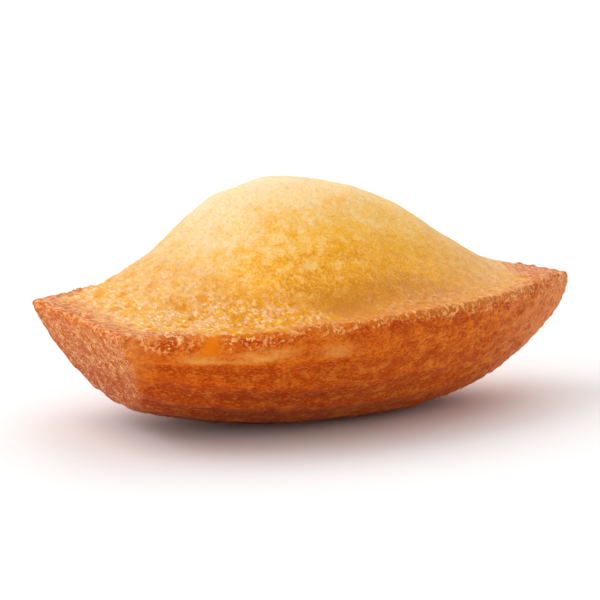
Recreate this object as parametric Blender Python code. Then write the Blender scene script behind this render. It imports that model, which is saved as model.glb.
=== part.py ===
"""A madeleine: one solid, with a shell-ribbed underside and a domed top.

The cake lies with its flat heel at -X and its narrow tip at +X. It rests on
the belly of the shell, and the origin is under the middle of its bounding box.
Run with: blender --background --python part.py
"""
import math

import bmesh
import bpy

MM = 0.001

# Plan outline, seen from above
LENGTH = 78.0 * MM
HEEL_WIDTH = 29.1 * MM          # across the flat end
WIDEST = 47.0 * MM
WIDEST_AT = 0.34                # fraction of the length, from the heel
HEEL_FULLNESS = 1.45            # how fast the outline swells from the heel
TIP_TAPER = 1.765
TIP_ROUNDNESS = 0.775           # lower is a blunter tip

# Rim, the edge where the top meets the shell
RIM_ARCH = 0.75 * MM            # how far its middle stands above its ends
TIP_LIFT = 1.25 * MM
TIP_DROOP = 1.7 * MM
DROOP_FROM = 0.86
LIP_RADIUS = 0.8 * MM

# Shell, the moulded underside
DEPTH = 17.3 * MM               # below the rim, at the belly
DEEPEST_AT = 0.503
HEEL_DEPTH = 9.95 * MM          # what the shell has where the heel starts
BOW_TAPER = 2.49
BOW_ROUNDNESS = 0.69
SECTION_FULLNESS = 2.12         # 2 would be an ellipse
SECTION_ROUNDNESS = 1.71
HEEL_LEAN = math.radians(26.5)  # of the heel's face, away from vertical
HEEL_RADIUS = 19.8 * MM         # the slight bulge of that face
HEEL_EDGE = 0.6 * MM            # softness of the edge round it
FLAT_SPOT = 0.5 * MM            # how far the belly has settled

# Ribs, which run from the heel along the shell to the tip
RIB_PITCH = math.radians(16.9)  # with a groove along the middle of the belly
RIB_RELIEF = 0.25 * MM          # above and below the smooth shell
RIBS_END = 0.95

# Dome, the risen top
DOME_HEIGHT = 15.56 * MM        # above the rim
DOME_AT = 0.43
DOME_OFFSET = 0.15              # towards +Y, as a fraction of the half width
DOME_REACH_HEEL = 0.455
DOME_REACH_TIP = 0.561
DOME_REACH_SIDE = 1.133
DOME_SHOULDER = 1.157           # higher keeps the middle broader
DOME_SKIRT = 2.59               # higher spreads a thinner skirt
RIM_MARGIN = 6.0                # higher brings the dome closer to the rim
HEEL_MARGIN = 0.06              # share of the length that is flat at both ends

# Uneven swellings of the top: place along, place across, radius, height
SWELLINGS = (
    (0.51, -0.55, 9.0 * MM, 1.1 * MM),
    (0.62, -0.12, 5.8 * MM, 0.55 * MM),
    (0.31, 0.19, 7.0 * MM, 0.65 * MM),
    (0.22, -0.45, 8.0 * MM, -0.4 * MM),
    (0.83, 0.09, 5.3 * MM, -0.45 * MM),
    (0.36, 0.27, 2.6 * MM, -0.95 * MM),
    (0.56, 0.26, 6.8 * MM, -0.6 * MM),
    (0.12, 0.46, 4.6 * MM, 0.95 * MM),
)

# Mesh resolution
HEEL_ROWS = 7                   # from the rim down the heel face
HEEL_CROWDING = 1.6             # higher puts those rows closer to the rim
SHELL_ROWS = 37                 # from the heel face to the tip
STEPS_ACROSS = 54
TOP_SPREAD = 0.5                # evens out the top's steps across
NARROWEST_HEEL = 0.02           # least share of the length that the heel rows take


def mix(low, high, share):
    return low + (high - low) * share


def clamp(value):
    return min(max(value, 0.0), 1.0)


def ease(value):
    """Smooth step from 0 to 1."""
    value = clamp(value)
    return value * value * (3.0 - 2.0 * value)


def half_width(along):
    """Half the plan width, from the heel (0) to the tip (1)."""
    widest = WIDEST / 2
    if along < WIDEST_AT:
        swell = 1.0 - (1.0 - along / WIDEST_AT) ** HEEL_FULLNESS
        return mix(HEEL_WIDTH / 2, widest, swell)
    taper = (along - WIDEST_AT) / (1.0 - WIDEST_AT)
    return widest * clamp(1.0 - taper ** TIP_TAPER) ** TIP_ROUNDNESS


def rim_height(along):
    arch = RIM_ARCH * math.sin(math.pi * along) ** 2
    lift = TIP_LIFT * along ** 4
    droop = TIP_DROOP * clamp((along - DROOP_FROM) / (1.0 - DROOP_FROM)) ** 2
    return arch + lift - droop


def shell_depth(along):
    """Depth of the shell's centre line below the rim."""
    if along < DEEPEST_AT:
        sink = 1.0 - (1.0 - along / DEEPEST_AT) ** 2
        return mix(HEEL_DEPTH, DEPTH, sink)
    rise = (along - DEEPEST_AT) / (1.0 - DEEPEST_AT)
    return DEPTH * clamp(1.0 - rise ** BOW_TAPER) ** BOW_ROUNDNESS


def rib_relief(along, angle):
    """How far the ribs stand out of the shell, less where they run together at the tip."""
    fade = half_width(along) / (WIDEST / 2) * ease((1.0 - along) / (1.0 - RIBS_END))
    return -RIB_RELIEF * fade * math.cos(2.0 * math.pi * angle / RIB_PITCH)


def smooth_max(first, second, softness):
    gap = math.hypot(first - second, softness)
    return (first + second + gap) / 2


def heel_face(along):
    """Height of the leaning heel face, whose top edge is the rim."""
    distance = along * LENGTH
    return distance ** 2 / (2.0 * HEEL_RADIUS) - distance / math.tan(HEEL_LEAN)


def moulded_drop(along, angle):
    """How the ribbed shell lies below the rim, before the heel cuts it off."""
    across = abs(math.sin(angle))
    section = clamp(1.0 - across ** SECTION_FULLNESS) ** (1.0 / SECTION_ROUNDNESS)
    return -shell_depth(along) * section - rib_relief(along, angle) * math.sqrt(section)


def heel_reach(angle):
    """Where the shell starts from the heel face, as a share of the length."""
    low = 0.0
    high = DEEPEST_AT / 2
    for _ in range(24):
        middle = (low + high) / 2
        if heel_face(middle) > moulded_drop(middle, angle):
            low = middle
        else:
            high = middle
    return max(low, NARROWEST_HEEL)


def shell_point(along, angle):
    """A point of the underside; the angle runs from -90 to 90 degrees across."""
    drop = smooth_max(moulded_drop(along, angle), heel_face(along), HEEL_EDGE)
    height = rim_height(along) + min(drop, 0.0)
    return along * LENGTH, math.sin(angle) * half_width(along), height


def dome(along, across):
    reach = DOME_REACH_HEEL if along < DOME_AT else DOME_REACH_TIP
    distance = math.hypot((along - DOME_AT) / reach, (across - DOME_OFFSET) / DOME_REACH_SIDE)
    bell = math.cos(math.pi / 2 * clamp(distance) ** DOME_SHOULDER)
    return DOME_HEIGHT * clamp(bell) ** DOME_SKIRT


def swellings(x, y):
    total = 0.0
    for along, across, radius, height in SWELLINGS:
        centre_y = across * half_width(along)
        distance = math.hypot(x - along * LENGTH, y - centre_y) / radius
        total += height * math.exp(-distance ** 2)
    return total


def lip(distance):
    """Drop of the rounded edge at a distance in from the outline."""
    if distance >= LIP_RADIUS:
        return 0.0
    inward = LIP_RADIUS - distance
    return LIP_RADIUS - math.sqrt(LIP_RADIUS ** 2 - inward ** 2)


def top_point(along, angle):
    """A point of the top, which meets the underside all round the rim."""
    spread = TOP_SPREAD * ease(along / HEEL_MARGIN)
    across = mix(math.sin(angle), angle / (math.pi / 2), spread)
    x = along * LENGTH
    y = across * half_width(along)
    margin = 1.0 - abs(across) ** RIM_MARGIN
    ends = ease(along / HEEL_MARGIN) * ease((1.0 - along) / HEEL_MARGIN)
    rise = (dome(along, across) + swellings(x, y) * ends) * margin
    to_side = (1.0 - abs(across)) * half_width(along)
    rise += LIP_RADIUS - lip(min(to_side, x, LENGTH - x))
    return x, y, rim_height(along) + rise


def station(row, angle):
    """Place of a row along the length, with one row on the heel's lower edge."""
    reach = heel_reach(angle)
    if row <= HEEL_ROWS:
        return reach * (row / HEEL_ROWS) ** HEEL_CROWDING
    return mix(reach, 1.0, math.sin(math.pi / 2 * (row - HEEL_ROWS) / SHELL_ROWS))


def crossing(index):
    """Angle across the section, from -90 to 90 degrees."""
    return math.pi * (index / STEPS_ACROSS - 0.5)


def surface_grid(bm, point_at, border=None):
    """Rows of vertices from heel to tip; a border grid lends its edge ones."""
    tip = border[-1][0] if border else bm.verts.new(point_at(1.0, 0.0))
    rows = []
    for i in range(HEEL_ROWS + SHELL_ROWS):
        row = []
        for j in range(STEPS_ACROSS + 1):
            if border and (i == 0 or j in (0, STEPS_ACROSS)):
                row.append(border[i][j])
            else:
                angle = crossing(j)
                row.append(bm.verts.new(point_at(station(i, angle), angle)))
        rows.append(row)
    rows.append([tip] * (STEPS_ACROSS + 1))
    return rows


def skin_grid(bm, rows, facing_up):
    """Faces between neighbouring rows, with triangles where they meet the tip."""
    for near, far in zip(rows, rows[1:]):
        for j in range(STEPS_ACROSS):
            corners = [near[j], far[j], far[j + 1], near[j + 1]]
            if far[j] is far[j + 1]:
                corners.pop(2)
            if not facing_up:
                corners.reverse()
            bm.faces.new(corners).smooth = True


def settle_belly(bm):
    """Press the lowest part of the shell into the flat spot it rests on."""
    floor = min(vert.co.z for vert in bm.verts) + FLAT_SPOT
    for vert in bm.verts:
        vert.co.z = max(vert.co.z, floor)


def centre_on_floor(bm):
    """Put the origin under the middle of the bounding box."""
    lows = [min(vert.co[axis] for vert in bm.verts) for axis in range(3)]
    highs = [max(vert.co[axis] for vert in bm.verts) for axis in range(3)]
    shift = ((lows[0] + highs[0]) / 2, (lows[1] + highs[1]) / 2, lows[2])
    for vert in bm.verts:
        for axis in range(3):
            vert.co[axis] -= shift[axis]


def sponge_material():
    """Golden, slightly glossy baked sponge."""
    material = bpy.data.materials.new("baked_sponge")
    material.use_nodes = True
    shader = material.node_tree.nodes["Principled BSDF"]
    shader.inputs["Base Color"].default_value = (0.72, 0.28, 0.05, 1.0)
    shader.inputs["Roughness"].default_value = 0.55
    shader.inputs["Metallic"].default_value = 0.0
    return material


def cake():
    bm = bmesh.new()
    underside = surface_grid(bm, shell_point)
    top = surface_grid(bm, top_point, border=underside)
    skin_grid(bm, underside, facing_up=False)
    skin_grid(bm, top, facing_up=True)
    settle_belly(bm)
    centre_on_floor(bm)
    mesh = bpy.data.meshes.new("cake")
    bm.to_mesh(mesh)
    bm.free()
    mesh.set_sharp_from_angle(angle=math.radians(50.0))
    mesh.materials.append(sponge_material())
    piece = bpy.data.objects.new("cake", mesh)
    bpy.context.scene.collection.objects.link(piece)


def clear_scene():
    for leftover in list(bpy.data.objects):
        bpy.data.objects.remove(leftover, do_unlink=True)


clear_scene()
cake()
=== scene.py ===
"""Looks of a madeleine: a fine crumbly skin on the form of the CAD solid, with its baked colours.

Lengths are in millimetres until the mesh is made, and the cake's size comes from the frame.
X runs from the heel to the tip, with 0 halfway. Y is 0 along the middle, and Z is 0 on the floor.
"""
import math
from types import SimpleNamespace

import bpy
import numpy as np
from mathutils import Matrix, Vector, noise

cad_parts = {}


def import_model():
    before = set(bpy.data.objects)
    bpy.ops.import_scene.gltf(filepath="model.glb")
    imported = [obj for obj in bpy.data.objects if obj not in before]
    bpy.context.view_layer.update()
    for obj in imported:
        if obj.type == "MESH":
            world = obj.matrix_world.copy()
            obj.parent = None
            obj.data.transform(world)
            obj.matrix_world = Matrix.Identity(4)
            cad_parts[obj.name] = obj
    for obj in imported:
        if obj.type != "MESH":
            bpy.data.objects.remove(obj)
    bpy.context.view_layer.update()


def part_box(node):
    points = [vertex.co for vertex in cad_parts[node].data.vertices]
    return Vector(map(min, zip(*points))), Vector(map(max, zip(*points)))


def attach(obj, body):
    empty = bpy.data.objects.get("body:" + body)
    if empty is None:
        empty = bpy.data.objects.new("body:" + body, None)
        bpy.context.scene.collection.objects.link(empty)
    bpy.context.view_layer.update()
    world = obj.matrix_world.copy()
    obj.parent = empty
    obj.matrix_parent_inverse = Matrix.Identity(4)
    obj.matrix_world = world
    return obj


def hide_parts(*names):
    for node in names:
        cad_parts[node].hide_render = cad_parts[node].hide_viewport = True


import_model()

MM = 0.001
low, high = (np.array(corner_highlight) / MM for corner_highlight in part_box("cake"))
LENGTH, WIDEST = (high - low)[:2]

# Form, as in the CAD solid; "along" runs from the heel (0) to the tip (1)
HEEL_WIDTH = 29.1
WIDEST_AT = 0.34
HEEL_FULLNESS = 1.45
TIP_TAPER = 1.765
TIP_ROUNDNESS = 0.775
RIM_ARCH = 0.75
TIP_LIFT = 1.25
TIP_DROOP = 1.7
DROOP_FROM = 0.86
LIP_RADIUS = 0.8
DEPTH = 17.3
DEEPEST_AT = 0.503
HEEL_DEPTH = 9.95
BOW_TAPER = 2.49
BOW_ROUNDNESS = 0.69
SECTION_FULLNESS = 2.12
SECTION_ROUNDNESS = 1.71
HEEL_LEAN = math.radians(26.5)
HEEL_RADIUS = 19.8
HEEL_EDGE = 0.6
FLAT_SPOT = 0.5
RIB_PITCH = math.radians(16.9)
RIB_RELIEF = 0.25
RIBS_END = 0.95
DOME_HEIGHT = 15.56
DOME_AT = 0.43
DOME_OFFSET = 0.15
DOME_REACH_HEEL = 0.455
DOME_REACH_TIP = 0.561
DOME_REACH_SIDE = 1.133
DOME_SHOULDER = 1.157
DOME_SKIRT = 2.59
RIM_MARGIN = 6.0
HEEL_MARGIN = 0.06

# Uneven swellings of the top: place along, place across (-1 to 1), radius, height
SWELLINGS = (
    (0.51, -0.55, 9.0, 1.1),
    (0.62, -0.12, 5.8, 0.55),
    (0.31, 0.19, 7.0, 0.65),
    (0.22, -0.45, 8.0, -0.4),
    (0.83, 0.09, 5.3, -0.45),
    (0.36, 0.27, 2.6, -0.95),
    (0.56, 0.26, 6.8, -0.6),
    (0.12, 0.46, 4.6, 0.95),
)

# Mesh of the skin
HEEL_ROWS = 26
SHELL_ROWS = 262
STEPS_ACROSS = 160
ROW_CROWDING = 1.3              # above 1 crowds the rows towards the heel's edge and the tip
TOP_SPREAD = 0.8                # evens out the top's steps across
NARROWEST_HEEL = 0.02           # least share of the length that the heel rows take
HALVINGS = 24                   # when finding where the shell starts from the heel face
BOX_SOFTNESS = 0.12             # how gently the skin is held inside the box
MAP_BORDER = 0.01               # free edge of the flat map
MAP_HEIGHT = 0.48               # of each of its two halves

# Places on the skin
TIP_INSET = 1.2                 # how fast the distance from the rim grows inwards from the tip
HEEL_FACE_BLEND = 2.6           # over which the heel's face passes into the shell
PALEST_LIT_SPOT = (-14.0, 4.0)           # X and Y of the palest skin, partly paler baking and partly painted light where the top is most lit
PALE_REACH = (42.0, 78.0, 24.0) # how far it is from there to golden brown: heel, tip, sides
GLAZE_AT = -27.8
GLAZE_DEPTH = 0.9               # below the rim
RIDGE_ENDS = (-34.0, -14.0)
RIDGE_SPOT = -10.5              # where the ridge shows once more
RIDGE_TURN = 4.5 * RIB_PITCH    # from the middle of the belly
RIDGE_BREADTH = math.radians(3.3)
HEEL_GRAIN_TILT = math.radians(25.0)

# Golden stains of the dome, and paler wisps (below 0): centre, length, height, strength
STAINS = (
    ((-1.0, -4.2, 30.4), 3.2, 0.9, 0.6),
    ((-11.7, -4.6, 29.2), 2.4, 0.9, 0.4),
    ((-14.2, -6.6, 26.4), 1.5, 0.6, 0.6),
    ((-4.1, -8.5, 27.0), 3.2, 0.8, 0.7),
    ((-3.3, -10.1, 25.4), 2.6, 0.9, 1.0),
    ((-12.8, -9.8, 23.9), 3.2, 0.9, 0.7),
    ((-17.1, -6.1, 25.1), 2.8, 0.8, 0.6),
    ((-9.5, -7.1, 27.5), 1.4, 0.6, 0.6),
    ((6.2, -3.1, 29.1), 1.8, 0.8, 0.5),
    ((-2.8, -12.3, 23.0), 0.8, 0.5, 0.7),
    ((2.5, -10.9, 23.5), 0.7, 0.5, 0.7),
    ((5.9, -8.6, 24.2), 0.8, 0.5, 0.7),
    ((-16.5, -13.1, 19.5), 2.4, 1.0, 0.6),
    ((-14.6, -11.4, 21.6), 1.4, 0.7, 0.6),
    ((-11.9, -7.1, 26.9), 1.3, 0.8, -1.0),
    ((-7.9, -7.6, 27.3), 0.5, 1.2, -1.0),
    ((-4.2, -9.1, 26.4), 1.4, 0.4, -0.9),
    ((-13.4, -8.1, 25.3), 1.8, 0.5, -0.9),
    ((-8.9, -11.5, 23.4), 1.5, 0.5, -0.7),
    ((-15.8, -2.7, 28.6), 2.0, 1.2, -0.4),
    ((-23.7, -4.6, 21.5), 2.0, 0.9, -0.6),
    ((-27.2, -4.0, 19.8), 1.8, 1.0, -0.6),
)

# Studio
CAMERA_AZIMUTH = math.radians(27.25)
CAMERA_ELEVATION = math.radians(11.27)
CAMERA_DISTANCE = 612.7
VIEW_WIDTH = 84.3               # that the frame takes in at the cake's distance
VIEW_CENTRE = (-3.92, -0.27)    # rightwards and upwards from the cake's middle, at its rim
SENSOR_WIDTH = 36.0
FLOOR_REACH = 6.0               # m
FLOOR_SHADE = 0.9
WORLD_STRENGTH = 0.62
LAMPS = (                       # place in m, diameter in m, watts
    ("back_left", (-0.5, 0.35, 0.7), 0.9, 3.2),
    ("back_right", (0.5, 0.5, 0.6), 0.9, 2.5),
    ("left", (-0.7, -0.2, 0.35), 0.7, 1.5),
    ("above", (0.0, 0.0, 1.0), 1.0, 1.3),
)


def mix(first, second, share):
    return first + (second - first) * share


def clamp(value):
    return np.clip(value, 0.0, 1.0)


def ease(value):
    """Smooth step from 0 to 1."""
    value = clamp(value)
    return value * value * (3.0 - 2.0 * value)


def after(value, start, over):
    """0 up to the start, and 1 once it's past by the given amount."""
    return ease((value - start) / over)


def before(value, end, over):
    """1 until the end is nearer than the given amount, and 0 from the end."""
    return ease((end - value) / over)


def hump(value, centre, reach):
    return np.exp(-((value - centre) / reach) ** 2)


def smooth_max(first, second, softness):
    return (first + second + np.hypot(first - second, softness)) / 2


def half_width(along):
    widest = WIDEST / 2
    swell = 1.0 - clamp(1.0 - along / WIDEST_AT) ** HEEL_FULLNESS
    taper = clamp((along - WIDEST_AT) / (1.0 - WIDEST_AT))
    broad = mix(HEEL_WIDTH / 2, widest, swell)
    narrow = widest * clamp(1.0 - taper ** TIP_TAPER) ** TIP_ROUNDNESS
    return np.where(along < WIDEST_AT, broad, narrow)


def rim_height(along):
    arch = RIM_ARCH * np.sin(math.pi * along) ** 2
    droop = TIP_DROOP * clamp((along - DROOP_FROM) / (1.0 - DROOP_FROM)) ** 2
    return arch + TIP_LIFT * along ** 4 - droop


def shell_depth(along):
    """Depth of the shell's centre line below the rim."""
    sink = 1.0 - clamp(1.0 - along / DEEPEST_AT) ** 2
    rise = clamp((along - DEEPEST_AT) / (1.0 - DEEPEST_AT))
    bow = DEPTH * clamp(1.0 - rise ** BOW_TAPER) ** BOW_ROUNDNESS
    return np.where(along < DEEPEST_AT, mix(HEEL_DEPTH, DEPTH, sink), bow)


def rib_wave(along, angle):
    """Ribs from -1 in the grooves to 1 on the crests, lower towards the tip."""
    fade = half_width(along) / (WIDEST / 2) * ease((1.0 - along) / (1.0 - RIBS_END))
    return -fade * np.cos(2.0 * math.pi * angle / RIB_PITCH)


def heel_face(along):
    """Height of the leaning heel face, whose top edge is the rim."""
    distance = along * LENGTH
    return distance ** 2 / (2.0 * HEEL_RADIUS) - distance / math.tan(HEEL_LEAN)


def moulded_drop(along, angle):
    """How the ribbed shell lies below the rim, before the heel cuts it off."""
    across = np.abs(np.sin(angle))
    section = clamp(1.0 - across ** SECTION_FULLNESS) ** (1.0 / SECTION_ROUNDNESS)
    return -shell_depth(along) * section - RIB_RELIEF * rib_wave(along, angle) * np.sqrt(section)


def heel_reach(angle):
    """Where the shell starts from the heel face, found by halving."""
    near = np.zeros_like(angle)
    far = np.full_like(angle, DEEPEST_AT / 2)
    for _ in range(HALVINGS):
        middle = (near + far) / 2
        on_face = heel_face(middle) > moulded_drop(middle, angle)
        near = np.where(on_face, middle, near)
        far = np.where(on_face, far, middle)
    return np.maximum(far, NARROWEST_HEEL)


def underside(along, angle):
    """Points of the underside; the angle runs from -90 to 90 degrees across."""
    drop = smooth_max(moulded_drop(along, angle), heel_face(along), HEEL_EDGE)
    height = rim_height(along) + np.minimum(drop, 0.0)
    return np.stack([along * LENGTH, np.sin(angle) * half_width(along), height], axis=-1)


def dome(along, across):
    reach = np.where(along < DOME_AT, DOME_REACH_HEEL, DOME_REACH_TIP)
    distance = np.hypot((along - DOME_AT) / reach, (across - DOME_OFFSET) / DOME_REACH_SIDE)
    bell = np.cos(math.pi / 2 * clamp(distance) ** DOME_SHOULDER)
    return DOME_HEIGHT * clamp(bell) ** DOME_SKIRT


def swellings(x, y):
    """Uneven swellings of the top."""
    total = np.zeros_like(x)
    for at, beside, radius, height in SWELLINGS:
        centre_y = beside * half_width(np.float64(at))
        distance = np.hypot(x - at * LENGTH, y - centre_y) / radius
        total += height * np.exp(-distance ** 2)
    return total


def top(along, angle):
    """Points of the top, which meets the underside all round the rim."""
    across = mix(np.sin(angle), angle / (math.pi / 2), TOP_SPREAD * ease(along / HEEL_MARGIN))
    x = along * LENGTH
    y = across * half_width(along)
    ends = ease(along / HEEL_MARGIN) * ease((1.0 - along) / HEEL_MARGIN)
    rise = (dome(along, across) + swellings(x, y) * ends) * (1.0 - np.abs(across) ** RIM_MARGIN)
    edge = np.minimum((1.0 - np.abs(across)) * half_width(along), np.minimum(x, LENGTH - x))
    inward = LIP_RADIUS * clamp(1.0 - edge / LIP_RADIUS)
    lip = np.sqrt(LIP_RADIUS ** 2 - inward ** 2)
    return np.stack([x, y, rim_height(along) + rise + lip], axis=-1)


def grid():
    """Place along and angle across of every grid point, the tip left out."""
    angle = math.pi * (np.arange(STEPS_ACROSS + 1) / STEPS_ACROSS - 0.5)
    reach = heel_reach(angle)
    heel = (np.arange(HEEL_ROWS)[:, None] / HEEL_ROWS) ** ROW_CROWDING * reach
    run = 1.0 - (1.0 - np.arange(SHELL_ROWS) / SHELL_ROWS) ** ROW_CROWDING
    shell = mix(reach, 1.0, run[:, None])
    along = np.vstack([heel, shell])
    return along, np.broadcast_to(angle, along.shape)


class Form:
    """The cake's smooth form: the skin's points before their relief, and where each of them lies."""

    def __init__(self):
        along, angle = grid()
        self.rows, self.columns = along.shape
        self.inner = np.zeros((self.rows, self.columns), dtype=bool)
        self.inner[1:, 1:-1] = True
        self.place = self.joined(along, along)
        self.place[-1] = 1.0
        self.turn = self.joined(angle, angle)
        under_points = underside(along, angle)
        top_points = top(along, angle)
        axes = [self.joined(under_points[..., k], top_points[..., k]) for k in range(3)]
        self.points = np.stack(axes, axis=-1)
        self.points[-1] = (LENGTH, 0.0, rim_height(np.float64(1.0)))
        self.floor_level = self.points[:, 2].min() + FLAT_SPOT
        self.points -= (LENGTH / 2, 0.0, self.floor_level)
        self.x, self.y, self.z = self.points.T
        self.measure()

    def joined(self, under_values, top_values):
        """Values for the mesh's points: the underside's grid, the top's inner points, the tip."""
        return np.concatenate([under_values.ravel(), top_values[self.inner], under_values[-1, :1]])

    def measure(self):
        """Each point's height above the rim, and its distances from it."""
        border = ~self.inner
        on_rim = self.joined(border, np.zeros_like(border))
        on_rim[-1] = True
        self.on_top = np.zeros(len(self.points))
        self.on_top[border.size:] = 1.0
        self.on_top[on_rim] = 0.5
        self.inside_rim = self.on_top > 0.75
        self.below_rim = self.on_top < 0.25
        self.rise = self.z - (rim_height(self.place) - self.floor_level)
        self.sink = np.clip(-self.rise, 0.0, None)
        inset = np.minimum(half_width(self.place) - np.abs(self.y), self.x + LENGTH / 2)
        self.inset = np.minimum(inset, (1.0 - self.place) * LENGTH * TIP_INSET)
        self.edge = np.where(self.inside_rim, np.maximum(self.inset, 0.0), -self.sink)
        self.edge[on_rim] = 0.0
        self.rib = rib_wave(self.place, self.turn)
        past_corner = heel_face(self.place) - moulded_drop(self.place, self.turn)
        on_heel_face = ease(0.5 + past_corner / HEEL_FACE_BLEND)
        self.heel = np.where(self.inside_rim, before(self.x, -36.0, 2.5), on_heel_face)

    def faces(self):
        """Quads of both grids, and triangles where they meet at the tip."""
        corners = self.rows * self.columns
        under_index = np.arange(corners).reshape(self.rows, self.columns)
        top_index = under_index.copy()
        top_index[self.inner] = corners + np.arange(self.inner.sum())
        tip = np.full(self.columns - 1, corners + self.inner.sum())
        faces = []
        for index, order in ((under_index, -1), (top_index, 1)):
            sides = (index[:-1, :-1], index[1:, :-1], index[1:, 1:], index[:-1, 1:])
            quads = np.stack(sides, axis=-1).reshape(-1, 4)
            ends = np.stack([index[-1, :-1], tip, index[-1, 1:]], axis=-1)
            faces += quads[:, ::order].tolist()
            faces += ends[:, ::order].tolist()
        return faces

    def flat_map(self):
        """Flat place of each face corner: the underside below, the top above it."""
        row, column = np.meshgrid(np.arange(self.rows + 1), np.arange(self.columns), indexing="ij")
        u = MAP_BORDER + (1.0 - 2.0 * MAP_BORDER) * row / self.rows
        corners = []
        for base, order in ((MAP_BORDER, -1), (0.5 + MAP_BORDER, 1)):
            v = base + MAP_HEIGHT * column / (self.columns - 1)
            uv = np.stack([u, v], axis=-1)
            sides = (uv[:-2, :-1], uv[1:-1, :-1], uv[1:-1, 1:], uv[:-2, 1:])
            quads = np.stack(sides, axis=-2).reshape(-1, 4, 2)
            middle = (uv[-1, :-1] + uv[-1, 1:]) / 2
            ends = np.stack([uv[-2, :-1], middle, uv[-2, 1:]], axis=-2)
            corners.append(quads[:, ::order].reshape(-1, 2))
            corners.append(ends[:, ::order].reshape(-1, 2))
        return np.concatenate(corners)


def drift(seed):
    """A far-off start in the noise, so that its uses don't look alike."""
    return Vector((13.7, 7.9, 3.1)) * seed


def fractal(points, size, octaves, seed):
    """Smooth noise of about -1 to 1, with features of the given size."""
    start = drift(seed)
    return np.array([
        noise.fractal(Vector(point) / size + start, 1.0, 2.0, octaves) for point in points.tolist()
    ])


def cells(points, spacing, seed):
    """Distance to the nearest of many scattered centres, and a random number from it."""
    start = drift(seed)
    distance = np.empty(len(points))
    lot = np.empty(len(points))
    for index, point in enumerate(points.tolist()):
        distances, centres = noise.voronoi(Vector(point) / spacing + start)
        distance[index] = distances[0]
        lot[index] = 0.5 + 0.5 * noise.cell(centres[0] * 9.0)
    return distance, lot


def hollows(points, spacing, share, seed):
    """Pits of uneven size: 1 at their deepest, 0 between them."""
    distance, lot = cells(points, spacing, seed)
    reach = 0.25 + 0.35 * np.clip(lot / share, 0.0, 1.0)
    return ease(1.0 - distance / reach) * (lot < share)


def crumb_waves(points):
    """The noises that the skin's relief is made of, from the largest to the finest."""
    bubble_gap, _ = cells(points, 0.95, 4)
    along_grain = points * (1.0, 0.4, 1.0)
    along_grain[:, 2] += 0.35 * points[:, 1]
    return SimpleNamespace(
        swells=fractal(points, 7.0, 2, 1),
        swirls=fractal(points, 2.4, 2, 2),
        crumb=fractal(points, 1.1, 2, 3),
        bubbles=clamp(1.0 - (bubble_gap / 0.62) ** 2),
        pits=hollows(points, 2.3, 0.8, 5),
        pores=hollows(points, 1.5, 0.5, 6),
        grain=fractal(along_grain, 0.9, 2, 7),
    )


def froth_share(form, waves):
    """Froth, where small bubbles have set: high up the heel half's skirt, thin beside the rim."""
    froth_top = 8.5 - 0.4 * np.clip(form.x + 24.0, 0.0, None) + 1.6 * waves.swells
    skirt = before(form.rise, froth_top, 3.2) * mix(0.5, 1.0, before(form.rise, 5.0, 4.0))
    skirt *= after(form.x, -38.0, 6.0)
    strip = mix(1.0, 0.35, after(form.x, -17.0, 17.0)) * ease(1.0 - form.inset / 5.0)
    strip *= after(form.x, -37.0, 6.0)
    tip_strip = 0.75 * ease(1.3 - form.inset / 6.5) * after(form.x, -6.0, 8.0)
    over_rim = np.where(form.below_rim, ease(1.0 - form.sink / 2.5), 1.0)
    return np.maximum(skirt, np.maximum(strip, tip_strip)) * over_rim


def bake_and_light_level(form):
    """How pale each part of the top is: 0 is pale, 1 golden brown; partly how long it baked, partly painted
    light, palest where the top is most lit.
    """
    to_heel, to_tip, to_side = PALE_REACH
    from_palest = form.x - PALEST_LIT_SPOT[0]
    reach = np.where(from_palest < 0.0, to_heel, to_tip)
    level = np.hypot(from_palest / reach, (form.y - PALEST_LIT_SPOT[1]) / to_side)
    return level + 0.12 * after(form.x, -16.0, 10.0) * before(form.inset, 10.0, 6.0)


def stain_share(form, waves):
    total = np.zeros(len(form.points))
    ragged = 0.5 * waves.crumb + 0.4 * waves.swirls
    for (x, y, z), length, height, strength in STAINS:
        beside = np.hypot(form.x - x, form.y - y) / length
        away = np.hypot(beside, (form.z - z) / height)
        total += strength * ease(1.2 - 0.8 * away + ragged)
    return total


def peach_and_sheen_share(form, froth):
    """Paler, less golden skin at both ends, less of it on the side that shows: partly lighter baking, partly
    a painted sheen where the ends are seen at a slant.
    """
    ends = np.maximum(before(form.x, -15.0, 14.0), after(form.x, 8.0, 18.0))
    return ends * mix(1.0, 0.35, before(form.y, -6.0, 8.0)) * (1.0 - 0.3 * froth)


def lively_share(form):
    """How mottled the top is: fully on the heel's half, and calm on the tip's."""
    return 1.0 - 0.75 * after(form.x + 0.3 * (form.y + 10.0), -5.0, 9.0)


def foot_share(form):
    """A strip of deeper gold beside the rim, broader on the tip's half."""
    breadth = mix(5.5, 8.5, after(form.x, -4.0, 10.0))
    return ease(1.0 - form.inset / breadth) * after(form.x, -28.0, 14.0) * before(form.x, 22.0, 16.0)


def browned_share(form):
    """Browning that reaches in over the rim, most at the heel and at the tip."""
    ends = np.maximum(after(form.x, 10.0, 26.0), before(form.x, -22.0, 13.0))
    reach = 1.0 + 5.0 * ends
    inwards = np.where(form.below_rim, 1.0, clamp(1.0 - form.inset / reach))
    return np.maximum(inwards * mix(0.1, 1.0, ends), 0.9 * after(form.x, 24.5, 8.0))


def glint_reach(form):
    """Height, below the rim, that the painted glints along the rim reach down to."""
    return -0.7 - 1.6 * np.maximum(before(form.x, -14.0, 8.0), after(form.x, 2.0, 18.0))


def rim_band(form):
    """Strength of the dark red band right under the rim, weaker along two stretches."""
    return 1.0 - 0.8 * hump(form.x, -14.5, 6.0) - 0.6 * hump(form.x, 14.0, 10.0)


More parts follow.
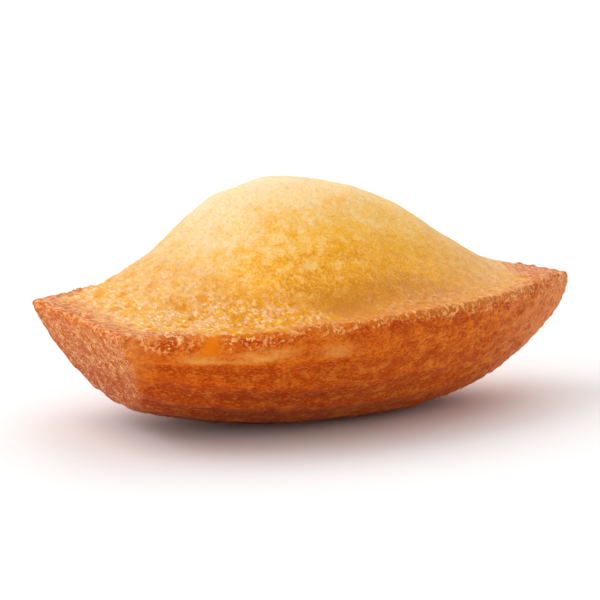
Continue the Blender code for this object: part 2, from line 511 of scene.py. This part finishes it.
def ridge_highlight_share(form):
    """The painted highlight along the rib crest that runs below the rim."""
    first, last = RIDGE_ENDS
    share = after(form.x, first, 6.0) * before(form.x, last, 8.0) + 0.6 * hump(form.x, RIDGE_SPOT, 2.4)
    centre = RIDGE_TURN + math.radians(3.0) * after(form.x, -26.0, 12.0)
    centre -= math.radians(2.0) * after(form.x, -14.0, 3.0)
    from_centre = np.abs(np.abs(form.turn) - centre)
    return share * ease(1.4 - from_centre / RIDGE_BREADTH) * form.below_rim


def glaze_share(form):
    """The glazed spot below the rim, on the side that shows."""
    below_rim = ease(1.5 - np.abs(form.edge + GLAZE_DEPTH) / 1.3)
    return hump(form.x, GLAZE_AT, 1.7) * below_rim * (form.y < 0.0)


def corner_highlight_share(form):
    """Painted highlight on the rounded edge between the heel's face and the shell."""
    corner_highlight = np.where(form.below_rim, 4.0 * form.heel * (1.0 - form.heel), 0.0)
    return corner_highlight * ease(form.edge / -2.0)


def relief(form, waves, froth):
    """How far each point stands out of the smooth form."""
    top_relief = 0.22 * waves.swells + 0.06 * waves.crumb + mix(0.04, 0.12, froth) * waves.swirls
    top_relief += froth * 0.24 * (waves.bubbles - 0.4) - mix(0.03, 0.26, froth) * waves.pits
    hull_relief = 0.08 * waves.swells + 0.08 * waves.swirls - 0.2 * waves.pores
    hull_relief += mix(0.1, 0.2, after(form.x, 5.0, 20.0)) * waves.crumb
    heel_relief = 0.1 * waves.swirls + 0.14 * waves.grain - 0.16 * waves.pores
    below = mix(hull_relief, heel_relief, form.heel)
    rag = mix(0.14, 0.2, after(form.x, 22.0, 10.0)) * waves.crumb * ease(1.0 - np.abs(form.edge) / 1.2)
    return mix(below, top_relief, form.on_top) + rag


def relief_tone(form, waves, froth):
    """What the colours take from the relief: above 0 on its crests, below 0 in its hollows."""
    top_tone = 0.3 * waves.crumb + 0.3 * waves.swirls + froth * 0.5 * (waves.bubbles - 0.4)
    hull_tone = 0.5 * waves.crumb + 0.3 * waves.swirls - waves.pores
    heel_tone = 0.8 * waves.grain + 0.3 * waves.swirls - waves.pores
    return mix(mix(hull_tone, heel_tone, form.heel), top_tone, form.on_top)


def held_in_box(points):
    """The points kept above the floor, and gently inside the CAD solid's box."""
    points[:, 2] = np.maximum(points[:, 2], 0.0)
    for axis in range(3):
        points[:, axis] = -smooth_max(-points[:, axis], -high[axis], BOX_SOFTNESS)
        if axis < 2:
            points[:, axis] = smooth_max(points[:, axis], low[axis], BOX_SOFTNESS)
    return points


def skin_fields(form, waves, froth):
    """The shares and distances that the material reads at each point."""
    return {
        "edge": form.edge,
        "place": form.place,
        "heel": form.heel,
        "rib": form.rib,
        "froth": froth,
        "tone": relief_tone(form, waves, froth),
        "pits": clamp(3.5 * waves.pits) * froth,
        "bake_and_light": bake_and_light_level(form),
        "stain": stain_share(form, waves),
        "peach_and_sheen": peach_and_sheen_share(form, froth),
        "lively": lively_share(form),
        "foot": foot_share(form),
        "browned": browned_share(form),
        "glint_reach": glint_reach(form),
        "rim_band": rim_band(form),
        "ridge": ridge_highlight_share(form),
        "glaze": glaze_share(form),
        "corner_highlight": corner_highlight_share(form),
    }


def skin_mesh(form):
    mesh = bpy.data.meshes.new("cake_skin")
    mesh.from_pydata((form.points * MM).tolist(), [], form.faces())
    mesh.shade_smooth()
    normals = np.empty(len(form.points) * 3, dtype=np.float32)
    mesh.vertices.foreach_get("normal", normals)
    waves = crumb_waves(form.points)
    froth = froth_share(form, waves)
    moved = form.points + normals.reshape(-1, 3) * relief(form, waves, froth)[:, None]
    mesh.vertices.foreach_set("co", (held_in_box(moved) * MM).astype(np.float32).ravel())
    mesh.update()
    for name, values in skin_fields(form, waves, froth).items():
        field = mesh.attributes.new(name, "FLOAT", "POINT")
        field.data.foreach_set("value", values.astype(np.float32))
    flat = mesh.uv_layers.new(name="OFBake")
    flat.uv.foreach_set("vector", form.flat_map().astype(np.float32).ravel())
    return mesh


class Shader:
    """Short names for making and linking a material's nodes."""

    def __init__(self, name):
        self.material = bpy.data.materials.new(name)
        self.material.use_nodes = True
        self.tree = self.material.node_tree
        self.surface = self.tree.nodes["Principled BSDF"]
        self.coordinates = self.tree.nodes.new("ShaderNodeTexCoord").outputs["Object"]
        self.fields = {}

    def put(self, socket, value):
        if isinstance(value, bpy.types.NodeSocket):
            self.tree.links.new(value, socket)
        else:
            socket.default_value = value

    def field(self, name):
        """The mesh's value of that name."""
        if name not in self.fields:
            node = self.tree.nodes.new("ShaderNodeAttribute")
            node.attribute_name = name
            self.fields[name] = node.outputs["Fac"]
        return self.fields[name]

    def math(self, operation, *values):
        node = self.tree.nodes.new("ShaderNodeMath")
        node.operation = operation
        for socket, value in zip(node.inputs, values):
            self.put(socket, value)
        return node.outputs[0]

    def add(self, *values):
        total = values[0]
        for value in values[1:]:
            total = self.math("ADD", total, value)
        return total

    def times(self, *values):
        total = values[0]
        for value in values[1:]:
            total = self.math("MULTIPLY", total, value)
        return total

    def most(self, first, second):
        return self.math("MAXIMUM", first, second)

    def span(self, value, start, end, first=0.0, last=1.0):
        """Map the span from start to end onto the span from first to last."""
        node = self.tree.nodes.new("ShaderNodeMapRange")
        for socket, number in zip(node.inputs, (value, start, end, first, last)):
            self.put(socket, number)
        return node.outputs[0]

    def mix(self, share, first, second, blend="MIX"):
        node = self.tree.nodes.new("ShaderNodeMix")
        node.data_type = "RGBA"
        node.blend_type = blend
        self.put(node.inputs["Factor"], share)
        self.put(node.inputs["A"], first)
        self.put(node.inputs["B"], second)
        return node.outputs["Result"]

    def layered(self, colour, *layers):
        """The colour under layers, each with its share and its own colour."""
        for share, shade in layers:
            colour = self.mix(share, colour, shade)
        return colour

    def placed(self, size, stretch, tilt, seed):
        """Coordinates in units of a feature's size in mm, stretched, then tilted about X."""
        node = self.tree.nodes.new("ShaderNodeMapping")
        node.vector_type = "TEXTURE"
        self.put(node.inputs["Vector"], self.coordinates)
        node.inputs["Location"].default_value = (seed * 0.37, seed * 0.19, seed * 0.53)
        node.inputs["Rotation"].default_value = (tilt, 0.0, 0.0)
        node.inputs["Scale"].default_value = [size * MM * times for times in stretch]
        return node.outputs[0]

    def noise(self, size, seed, detail, stretch=(1.0, 1.0, 1.0), rough=0.5, tilt=0.0, distortion=0.0):
        """Noise of about -1 to 1 with features of the given size in mm."""
        node = self.tree.nodes.new("ShaderNodeTexNoise")
        self.put(node.inputs["Vector"], self.placed(size, stretch, tilt, seed))
        node.inputs["Scale"].default_value = 1.0
        node.inputs["Detail"].default_value = detail
        node.inputs["Roughness"].default_value = rough
        node.inputs["Distortion"].default_value = distortion
        return self.span(node.outputs["Fac"], 0.25, 0.75, -1.0, 1.0)

    def scattered(self, size, seed, stretch=(1.0, 1.0, 1.0)):
        """Distance to the nearest of many scattered centres, and a random colour from it."""
        node = self.tree.nodes.new("ShaderNodeTexVoronoi")
        self.put(node.inputs["Vector"], self.placed(size, stretch, 0.0, seed))
        node.inputs["Scale"].default_value = 1.0
        return node.outputs["Distance"], node.outputs["Color"]

    def dots(self, size, seed, share, reach):
        """Soft dots in a share of the cells: 1 in their middles, 0 between them."""
        distance, colour = self.scattered(size, seed)
        lot = self.tree.nodes.new("ShaderNodeSeparateColor")
        self.put(lot.inputs[0], colour)
        chosen = self.math("LESS_THAN", lot.outputs[0], share)
        return self.times(chosen, self.span(distance, reach, reach * 0.35))

    def granules(self, size, seed, stretch):
        """Rounded grains: 1 in their middles, -1 in the gaps between them."""
        distance, _ = self.scattered(size, seed, stretch)
        return self.span(distance, 0.15, 0.75, 1.0, -1.0)

    def ramp(self, value, stops):
        node = self.tree.nodes.new("ShaderNodeValToRGB")
        self.put(node.inputs["Fac"], value)
        elements = node.color_ramp.elements
        while len(elements) < len(stops):
            elements.new(0.5)
        for element, (position, shade) in zip(elements, stops):
            element.position = position
            element.color = shade
        return node.outputs["Color"]

    def bump(self, height, depth):
        node = self.tree.nodes.new("ShaderNodeBump")
        node.inputs["Strength"].default_value = 1.0
        node.inputs["Distance"].default_value = depth * MM
        self.put(node.inputs["Height"], height)
        return node.outputs["Normal"]


def screen(red, green, blue):
    """A colour from its screen values of 0 to 255."""
    values = np.array([red, green, blue]) / 255
    linear = np.where(values <= 0.04045, values / 12.92, ((values + 0.055) / 1.055) ** 2.4)
    return (*linear.tolist(), 1.0)


def top_patterns(shader, curds):
    """The noises that the top's colours share."""
    granules = shader.granules(0.62, 21.0, (1.0, 1.8, 1.0))
    return SimpleNamespace(
        curds=curds,
        lumps=shader.add(shader.times(curds, 0.55), shader.times(granules, 0.5)),
        clouds=shader.noise(3.2, 1.0, 3.0, (2.0, 1.0, 1.0), rough=0.6),
        mottle=shader.noise(1.5, 2.0, 4.0, rough=0.62),
        tint=shader.noise(1.3, 25.0, 3.0, (1.0, 1.6, 1.0), rough=0.6),
        flecks=shader.noise(0.4, 17.0, 2.0, (1.0, 3.0, 1.0), rough=0.6),
        # a fine grain of painted shade for the gaps in the crumb
        shade_grain=shader.noise(0.38, 24.0, 2.0, (1.0, 2.0, 1.0), rough=0.6),
        grain=shader.noise(0.36, 3.0, 2.0, rough=0.6),
    )


def top_ground(shader, patterns, middle):
    """From cream where it is pale, partly painted light, to golden brown, with peach ends that are partly a
    painted sheen and a deeper gold foot.
    """
    place = shader.field("place")
    lively_middle = shader.times(middle, shader.field("lively"))
    level = shader.add(
        shader.field("bake_and_light"),
        shader.times(patterns.clouds, shader.add(0.06, shader.times(lively_middle, 0.04))),
        shader.times(patterns.mottle, shader.add(0.05, shader.times(lively_middle, 0.05))),
        shader.times(patterns.mottle, shader.span(place, 0.4, 0.2, 0.0, 0.12)),
        shader.times(shader.field("tone"), -0.1),
        shader.times(patterns.grain, shader.add(0.1, shader.times(shader.field("lively"), 0.05))),
    )
    # the cream end is partly painted light on the most lit part of the top
    colour = shader.ramp(level, (
        (0.02, screen(240, 217, 174)),
        (0.3, screen(247, 211, 150)),
        (0.5, screen(253, 193, 84)),
        (0.66, screen(243, 168, 46)),
        (0.8, screen(222, 146, 34)),
        (1.0, screen(200, 126, 32)),
    ))
    return shader.layered(
        colour,
        (shader.times(shader.field("peach_and_sheen"), 0.6), screen(226, 176, 120)),
        (shader.times(shader.field("foot"), 0.7), screen(208, 126, 40)),
    )


def stain_and_wisp(shader, patterns):
    """Broken shares of the golden stains and of the pale wisps among them."""
    broken = shader.span(shader.add(patterns.curds, patterns.mottle), -0.9, 0.6, 0.15, 1.0)
    field = shader.field("stain")
    stain = shader.times(shader.most(field, 0.0), broken)
    wisp = shader.times(shader.math("MINIMUM", field, 0.0), broken, -1.0)
    return stain, wisp


def top_mottling(shader, patterns, colour, middle, stain, wisp):
    """Stains, wisps, painted glints and specks, lively in the middle and calm at the tip's side."""
    lively = shader.field("lively")
    lively_middle = shader.times(middle, lively)
    painted_glints = shader.times(shader.span(patterns.curds, 0.15, 0.45), shader.span(patterns.clouds, -0.5, 0.5))
    dots = shader.times(shader.dots(1.9, 15.0, 0.3, 0.3), middle)
    heelward = shader.span(shader.field("place"), 0.35, 0.2, 0.0, 0.5)
    calm = shader.times(shader.field("peach_and_sheen"), shader.span(patterns.tint, -0.5, 0.5, -0.3, 0.3))
    return shader.layered(
        colour,
        (stain, screen(250, 176, 24)),
        (wisp, screen(254, 222, 154)),
        (shader.times(shader.span(patterns.mottle, -0.1, -0.55), lively_middle, 0.3), screen(252, 224, 162)),
        # painted highlights: small wet glints on the dome
        (shader.times(painted_glints, lively_middle, 0.5), screen(255, 218, 138)),
        (shader.times(dots, shader.add(0.25, shader.times(lively, 0.4))), screen(246, 170, 36)),
        (shader.times(shader.span(patterns.clouds, 0.1, 0.6), heelward), screen(246, 184, 84)),
        (shader.most(calm, 0.0), screen(246, 200, 136)),
        (shader.most(shader.times(calm, -1.0), 0.0), screen(206, 130, 56)),
    )


def top_froth(shader, patterns, colour, lip, still):
    """Amber froth with golden and rosy patches, cream grains on it, and painted white glints on the crests
    of the grains.
    """
    froth = shader.field("froth")
    place = shader.field("place")
    foot = shader.field("foot")
    amber = shader.mix(shader.span(place, 0.1, 0.22), screen(235, 172, 94), screen(226, 146, 36))
    amber = shader.mix(lip, amber, screen(222, 124, 40))
    cream = shader.mix(lip, screen(240, 196, 132), screen(240, 164, 92))
    glint_white = shader.mix(lip, screen(255, 226, 180), screen(255, 200, 140))
    skirts = shader.most(froth, shader.times(still, shader.span(shader.field("peach_and_sheen"), 0.6, 0.0), 0.4))
    rosy = shader.times(skirts, shader.span(place, 0.3, 0.45, 0.6, 0.3))
    drifts = shader.times(froth, shader.span(patterns.mottle, 0.5, -0.3, 0.55, 1.1))
    drifts = shader.times(drifts, shader.span(place, 0.12, 0.2, 1.0, 0.65))
    drifts = shader.times(drifts, shader.span(foot, 0.0, 1.0, 1.0, 0.6))
    crests = shader.times(shader.span(patterns.lumps, 0.05, 0.45), shader.add(0.03, drifts))
    return shader.layered(
        colour,
        (shader.times(froth, 0.8), amber),
        (shader.times(shader.span(patterns.tint, 0.05, 0.35), skirts, 0.6), screen(252, 182, 26)),
        (shader.times(shader.span(patterns.tint, 0.0, -0.4), rosy), screen(252, 202, 150)),
        (shader.times(foot, 0.75), screen(214, 128, 32)),
        (shader.times(shader.span(patterns.lumps, -0.25, 0.2), drifts, 0.6), cream),
        # painted highlights: white glints on the crests of the froth's grains
        (shader.times(crests, shader.span(place, 0.25, 0.42, 0.8, 0.5)), glint_white),
    )


def crust_brown(shader, flecks):
    """The brown of the rim's crust, with lighter and darker flecks."""
    along = shader.span(shader.field("place"), 0.05, 0.8)
    return shader.layered(
        shader.mix(along, screen(202, 114, 50), screen(212, 116, 60)),
        (shader.span(flecks, 0.05, 0.35, 0.0, 0.75), screen(244, 178, 126)),
        (shader.span(flecks, -0.05, -0.4, 0.0, 0.75), screen(184, 76, 16)),
    )


def browning(shader, flecks):
    """Mottled share of the rim's brown crust."""
    blotches = shader.noise(0.8, 19.0, 3.0, (1.0, 3.6, 1.0), rough=0.6)
    level = shader.add(
        shader.times(shader.field("browned"), 1.5),
        shader.times(flecks, 0.35),
        shader.times(blotches, 0.5),
        -0.3,
    )
    return shader.span(level, 0.0, 0.6, 0.0, 0.9)


def top_colour(shader, curds):
    froth = shader.field("froth")
    patterns = top_patterns(shader, curds)
    lip = shader.span(shader.field("edge"), 1.2, 0.1)
    still = shader.span(shader.field("lively"), 1.0, 0.25)
    from_gold = shader.math("ABSOLUTE", shader.add(shader.field("bake_and_light"), -0.5))
    middle = shader.span(from_gold, 0.45, 0.15)
    stain, wisp = stain_and_wisp(shader, patterns)
    colour = top_ground(shader, patterns, middle)
    colour = top_mottling(shader, patterns, colour, middle, stain, wisp)
    colour = top_froth(shader, patterns, colour, lip, still)
    colour = shader.layered(
        colour,
        (shader.times(stain, froth, 0.7), screen(238, 162, 40)),
        (shader.times(wisp, froth, 0.8), screen(252, 208, 154)),
        (shader.times(shader.field("pits"), 0.95), screen(232, 152, 26)),
        (shader.times(lip, 0.5), screen(212, 98, 26)),
        (browning(shader, patterns.flecks), crust_brown(shader, patterns.flecks)),
    )
    # painted shade: a fine darkening of the gaps in the crumb, most on the froth, the calm side and toward
    # the heel
    heelward = shader.span(shader.field("place"), 0.4, 0.3, 0.0, 0.25)
    shade_grain_strength = shader.add(0.2, shader.times(froth, 0.5), shader.times(still, 0.25), heelward)
    painted_pit_shade = shader.times(shader.span(patterns.shade_grain, 0.15, -0.55), shade_grain_strength)
    return shader.mix(painted_pit_shade, colour, (0.79, 0.74, 0.68, 1.0), "MULTIPLY")


def hull_ground(shader, depth, blots, tipward):
    """Bands of the moulded crust from the rim down, darker on the heel's half, and darker lower down: partly
    deeper browning, partly painted shade.
    """
    streaks = shader.noise(1.6, 6.0, 3.0, (4.0, 1.0, 1.0))
    uneven = shader.add(
        depth,
        shader.times(streaks, shader.span(tipward, 0.0, 1.0, 1.3, 0.5)),
        shader.times(blots, shader.span(tipward, 0.0, 1.0, 0.9, 1.6)),
        # painted light and shade on the ribs: crests lighter, grooves darker
        shader.times(shader.field("rib"), shader.span(tipward, 0.0, 1.0, -2.1, -1.2)),
    )
    uneven = shader.span(uneven, 0.0, 18.0)
    heelward_half = shader.ramp(uneven, (
        (0.0, screen(230, 112, 18)),
        (0.07, screen(212, 90, 6)),
        (0.15, screen(226, 116, 18)),
        (0.22, screen(210, 92, 6)),
        (0.33, screen(190, 74, 6)),
        (0.5, screen(176, 66, 8)),
        (0.67, screen(144, 50, 10)),
        # lighter again at the very bottom: painted light against the contact shadow on the floor
        (0.8, screen(142, 63, 30)),
        (0.95, screen(168, 93, 60)),
    ))
    tipward_half = shader.ramp(uneven, (
        (0.0, screen(232, 122, 36)),
        (0.05, screen(222, 104, 20)),
        (0.25, screen(220, 106, 10)),
        (0.44, screen(208, 92, 8)),
        (0.67, screen(204, 90, 12)),
        (0.8, screen(197, 92, 24)),
        (0.95, screen(184, 90, 44)),
    ))
    return shader.mix(tipward, heelward_half, tipward_half)


def hull_speckle(shader, colour, blots, grain, tipward):
    """Dark and light blots, stronger on the tip's half, and a fine grain."""
    speckle = shader.add(grain, shader.times(shader.field("tone"), 0.5))
    dark = shader.times(shader.span(blots, 0.0, 0.4), shader.span(tipward, 0.0, 1.0, 0.3, 0.75))
    light = shader.times(shader.span(blots, -0.1, -0.45), shader.span(tipward, 0.0, 1.0, 0.25, 0.65))
    return shader.layered(
        colour,
        (dark, screen(182, 64, 2)),
        (light, screen(234, 138, 46)),
        (shader.span(speckle, 0.05, 0.8, 0.0, 0.5), screen(238, 140, 50)),
        (shader.span(speckle, -0.1, -0.8, 0.0, 0.6), screen(160, 52, 2)),
    )


def hull_colour(shader):
    """The shell's crust: a red band under the rim, a painted highlight along a rib crest, painted highlights
    on the heel's corners, and a paler tip that is partly lighter baking and partly a painted sheen.
    """
    depth = shader.times(shader.field("edge"), -1.0)
    place = shader.field("place")
    tipward = shader.span(place, 0.25, 0.7)
    blots = shader.noise(1.4, 7.0, 4.0, (1.7, 1.0, 1.0), rough=0.62)
    grain = shader.noise(0.32, 8.0, 2.0, (1.7, 1.0, 1.0), rough=0.6)
    patches = shader.noise(3.0, 9.0, 1.0, (1.8, 1.0, 1.0))
    off_band = shader.math("ABSOLUTE", shader.add(depth, shader.times(blots, 0.5), -0.7))
    band = shader.times(shader.span(off_band, 1.0, 0.4), shader.span(patches, -0.6, 0.3, 0.45, 0.9))
    band = shader.times(band, shader.field("rim_band"))
    band_colour = shader.mix(tipward, screen(196, 66, 2), screen(202, 80, 8))
    ridge_highlight_patches = shader.span(shader.add(patches, blots), -0.9, 0.4, 0.05, 0.9)
    corner_highlight = shader.most(shader.field("corner_highlight"), shader.span(place, 0.07, 0.01, 0.0, 0.9))
    corner_highlight = shader.times(corner_highlight, shader.span(blots, -0.5, 0.5, 0.9, 0.5))
    corner_highlight = shader.times(corner_highlight, shader.span(depth, 7.0, 4.0, 0.4, 1.0))
    # paler tip: partly lighter baking, partly a painted sheen where it is seen at a slant
    tip = shader.times(shader.span(place, 0.72, 0.92, 0.0, 0.9), shader.span(blots, 0.4, -0.4, 0.4, 1.0))
    colour = hull_ground(shader, depth, blots, tipward)
    colour = shader.mix(band, colour, band_colour)
    colour = hull_speckle(shader, colour, blots, grain, tipward)
    return shader.layered(
        colour,
        # painted highlight on the rib crest below the rim
        (shader.times(shader.field("ridge"), ridge_highlight_patches), screen(242, 172, 84)),
        # painted highlight on the heel's rounded corner
        (corner_highlight, screen(226, 140, 62)),
        (tip, screen(240, 146, 74)),
        (shader.times(shader.span(grain, 0.0, -0.4), tipward, 0.25), screen(160, 56, 4)),
    )


def heel_colour(shader):
    """The heel's face: slanting strokes of open crumb, the light strokes partly painted highlights on the
    grain.
    """
    edge = shader.field("edge")
    strokes = shader.noise(0.3, 10.0, 3.0, (1.0, 2.0, 1.0), rough=0.65, tilt=HEEL_GRAIN_TILT)
    patches = shader.noise(1.8, 11.0, 3.0)
    colour = shader.ramp(shader.span(shader.add(edge, shader.times(patches, 1.2)), 0.0, -12.0), (
        (0.0, screen(208, 108, 34)),
        (0.2, screen(202, 110, 24)),
        (0.4, screen(192, 100, 18)),
        (0.7, screen(180, 84, 12)),
        (1.0, screen(162, 66, 8)),
    ))
    speckle = shader.add(
        strokes,
        shader.times(shader.field("tone"), 0.35),
        shader.times(patches, -0.35),
    )
    away = shader.span(shader.math("ABSOLUTE", edge), 0.2, 2.0, 0.25, 0.85)
    return shader.layered(
        colour,
        # light strokes: pale crumb, partly painted highlights on the grain's bumps
        (shader.times(shader.span(speckle, 0.08, 0.5), away), screen(242, 178, 118)),
        (shader.span(speckle, 0.0, -0.45, 0.0, 0.85), screen(184, 66, 2)),
    )


def rim_glint_share(shader, rag):
    """Painted highlights: beads of glint along the rounded rim, in clusters."""
    edge = shader.field("edge")
    place = shader.field("place")
    reach = shader.field("glint_reach")
    glint_beads = shader.noise(0.5, 18.0, 1.0, (1.0, 2.0, 1.0))
    above = shader.span(edge, 1.4, 0.4)
    below = shader.span(edge, reach, shader.times(reach, 0.3))
    by_heel = shader.span(place, 0.02, 0.06, 0.5, 0.95)
    by_tip = shader.span(place, 0.18, 0.26, 1.0, 0.85)
    clusters = shader.span(rag, -0.3, 0.4, 0.35, 1.0)
    return shader.times(shader.span(glint_beads, 0.12, 0.38), clusters, above, below, by_heel, by_tip)


def sponge_colour(shader, curds):
    """The top, the hull and the heel, which meet in a ragged line along the rim."""
    place = shader.field("place")
    rag = shader.noise(1.5, 13.0, 3.0)
    below = shader.mix(shader.field("heel"), hull_colour(shader), heel_colour(shader))
    overhang = shader.times(shader.span(place, 0.5, 0.6), shader.span(place, 0.9, 0.78), 0.5)
    border = shader.add(shader.field("edge"), shader.times(rag, 0.5), shader.times(curds, 0.4), overhang)
    return shader.layered(
        below,
        (shader.span(border, -0.1, 0.5), top_colour(shader, curds)),
        # painted highlights: pinkish-white glints along the rim
        (rim_glint_share(shader, rag), screen(255, 192, 122)),
        (shader.field("glaze"), screen(238, 126, 6)),
    )


def sponge():
    shader = Shader("sponge")
    curds = shader.noise(0.5, 12.0, 3.0, (1.0, 1.8, 1.0), rough=0.58, distortion=0.15)
    fine = shader.noise(0.4, 16.0, 2.0, rough=0.6)
    curd_height = shader.times(curds, shader.span(shader.field("froth"), 0.0, 1.0, 0.2, 1.0))
    height = shader.add(curd_height, shader.times(fine, 0.5))
    inputs = shader.surface.inputs
    shader.put(inputs["Base Color"], sponge_colour(shader, curds))
    shader.put(inputs["Normal"], shader.bump(height, 0.05))
    inputs["Roughness"].default_value = 0.4
    inputs["Specular IOR Level"].default_value = 0.05
    inputs["Subsurface Weight"].default_value = 0.15
    inputs["Subsurface Radius"].default_value = (1.0, 0.45, 0.15)
    inputs["Subsurface Scale"].default_value = 1.0 * MM
    return shader.material


def put_in_scene(name, data):
    thing = bpy.data.objects.new(name, data)
    bpy.context.scene.collection.objects.link(thing)
    return thing


def add_floor():
    reach = FLOOR_REACH
    corners = [(-reach, -reach, 0), (reach, -reach, 0), (reach, reach, 0), (-reach, reach, 0)]
    mesh = bpy.data.meshes.new("floor")
    mesh.from_pydata(corners, [], [(0, 1, 2, 3)])
    material = bpy.data.materials.new("floor")
    material.use_nodes = True
    inputs = material.node_tree.nodes["Principled BSDF"].inputs
    inputs["Base Color"].default_value = (FLOOR_SHADE, FLOOR_SHADE, FLOOR_SHADE, 1.0)
    inputs["Roughness"].default_value = 0.9
    mesh.materials.append(material)
    return put_in_scene("floor", mesh)


def add_camera(floor_level):
    """Look at a point near the middle of the rim, from the heel's side and slightly above."""
    flat = math.cos(CAMERA_ELEVATION)
    back = np.array([
        -math.sin(CAMERA_AZIMUTH) * flat,
        -math.cos(CAMERA_AZIMUTH) * flat,
        math.sin(CAMERA_ELEVATION),
    ])
    right = np.array([math.cos(CAMERA_AZIMUTH), -math.sin(CAMERA_AZIMUTH), 0.0])
    up = np.cross(back, right)
    target = np.array([0.0, 0.0, -floor_level]) + right * VIEW_CENTRE[0] + up * VIEW_CENTRE[1]
    camera = put_in_scene("camera", bpy.data.cameras.new("camera"))
    camera.location = Vector((target + back * CAMERA_DISTANCE) * MM)
    camera.rotation_euler = Vector(back).to_track_quat("Z", "Y").to_euler()
    camera.data.sensor_width = SENSOR_WIDTH
    camera.data.lens = SENSOR_WIDTH * CAMERA_DISTANCE / VIEW_WIDTH
    camera.data.clip_start = 0.01
    bpy.context.scene.camera = camera


def add_world():
    world = bpy.data.worlds.new("studio")
    world.use_nodes = True
    inputs = world.node_tree.nodes["Background"].inputs
    inputs["Color"].default_value = (1.0, 1.0, 1.0, 1.0)
    inputs["Strength"].default_value = WORLD_STRENGTH
    bpy.context.scene.world = world


def add_lamp(name, location, size, watts):
    """A round soft light that faces the cake."""
    data = bpy.data.lights.new(name, "AREA")
    data.shape = "DISK"
    data.size = size
    data.energy = watts
    lamp = put_in_scene(name, data)
    lamp.location = location
    lamp.rotation_euler = (-Vector(location)).to_track_quat("-Z", "Y").to_euler()


form = Form()
skin = put_in_scene("cake_skin", skin_mesh(form))
skin.data.materials.append(sponge())
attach(skin, "root")
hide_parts("cake")

floor = add_floor()
add_camera(form.floor_level)
add_world()
for lamp in LAMPS:
    add_lamp(*lamp)

bpy.context.scene.view_settings.view_transform = "Standard"
